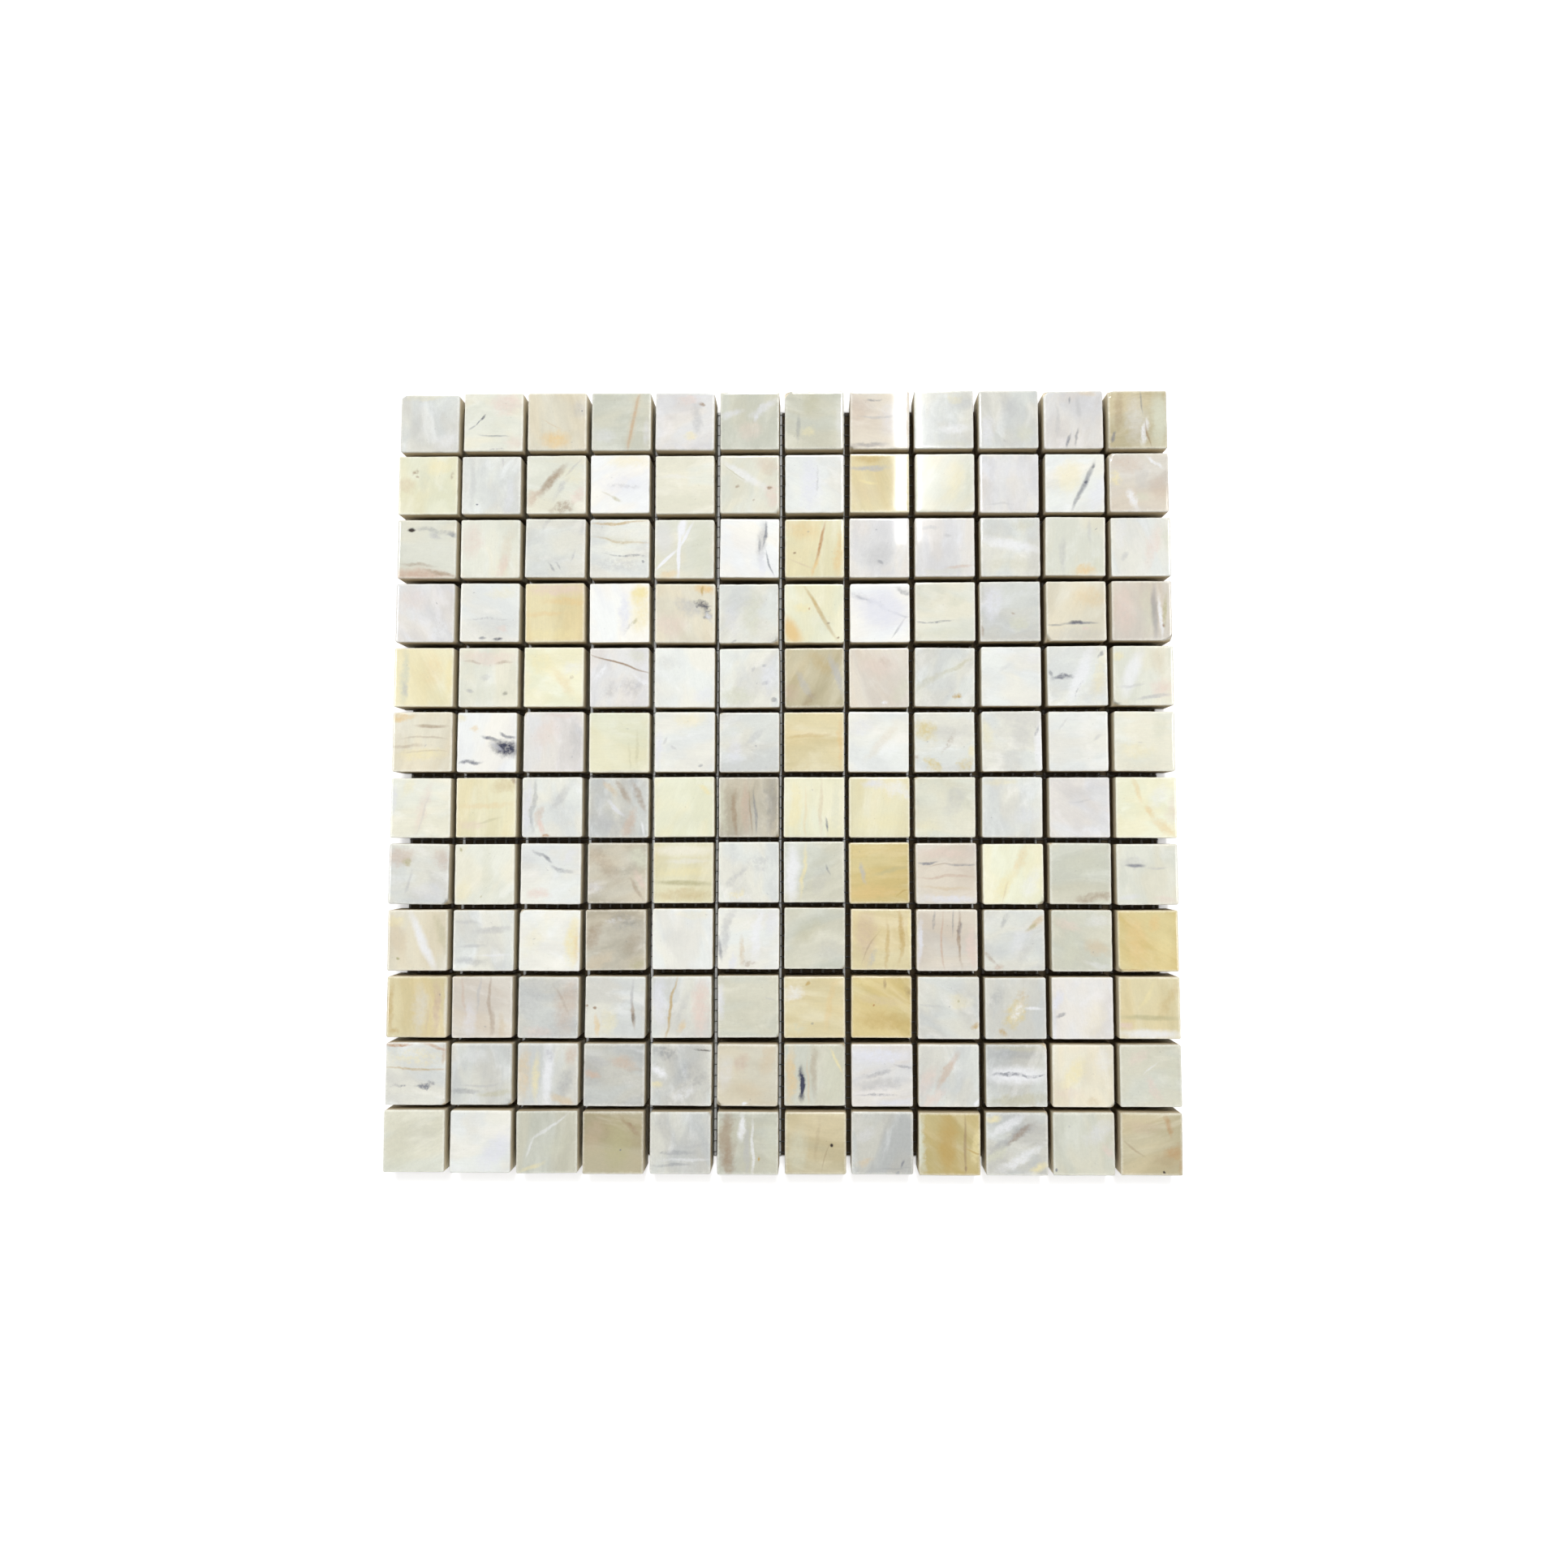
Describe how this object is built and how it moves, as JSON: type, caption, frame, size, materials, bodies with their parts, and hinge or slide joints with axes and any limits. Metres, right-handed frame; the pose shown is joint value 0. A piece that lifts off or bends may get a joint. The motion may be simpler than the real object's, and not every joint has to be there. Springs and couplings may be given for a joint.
{
  "type": "mosaic tile sheet",
  "caption": "Flat square sheet of marble mosaic chips in a straight grid, held a joint apart by an open glass-fibre net under their backs, for tiling walls and floors.",
  "frame": {"origin": "centre of the sheet's underside, where the net lies on the bed", "axes": "+Z is the polished face's outward normal, +Y runs towards row 1 and +X along the rows"},
  "size_m": [0.3028, 0.3028, 0.01],
  "materials": {
    "marble": "polished face with a worn arris, sawn back",
    "net": "resin-coated glass fibre"
  },
  "bodies": {
    "root": {"chip_row_01": "marble", "chip_row_02": "marble", "chip_row_03": "marble", "chip_row_04": "marble", "chip_row_05": "marble", "chip_row_06": "marble", "chip_row_07": "marble", "chip_row_08": "marble", "chip_row_09": "marble", "chip_row_10": "marble", "chip_row_11": "marble", "chip_row_12": "marble", "net_warp_01": "net", "net_warp_02": "net", "net_warp_03": "net", "net_warp_04": "net", "net_warp_05": "net", "net_warp_06": "net", "net_weft_01": "net", "net_weft_02": "net", "net_weft_03": "net", "net_weft_04": "net", "net_weft_05": "net", "net_weft_06": "net"}
  },
  "joints": []
}
